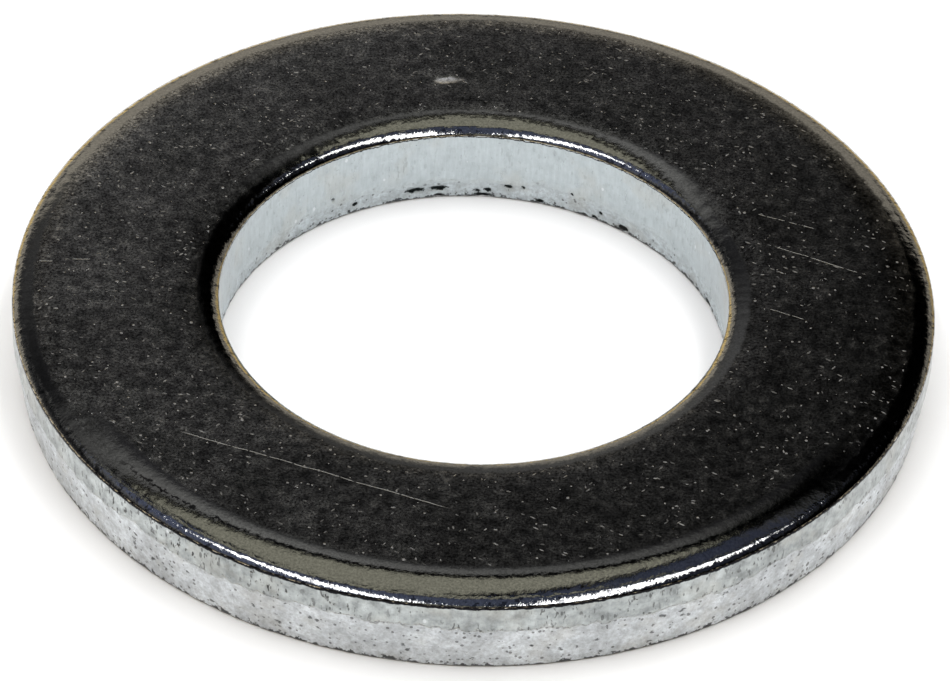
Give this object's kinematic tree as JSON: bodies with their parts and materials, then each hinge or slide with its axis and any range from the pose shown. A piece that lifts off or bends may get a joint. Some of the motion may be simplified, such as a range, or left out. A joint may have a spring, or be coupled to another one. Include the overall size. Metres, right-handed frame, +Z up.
{
  "type": "flat washer",
  "caption": "Plain round flat washer with a clearance hole, stamped from steel strip and zinc plated, with rolled top edges and sheared walls.",
  "frame": {"origin": "centre of the hole at the bottom bearing face", "axes": "+Z up along the hole axis, towards the face with the rolled edges; X and Y are equal"},
  "size_m": [0.0239, 0.0238, 0.0024],
  "materials": {
    "zinc_plated_steel": "bright zinc plate on stamped steel: mirror-dark on the rolled faces, frosty on the sheared walls"
  },
  "bodies": {
    "root": {"washer": "zinc_plated_steel"}
  },
  "joints": []
}
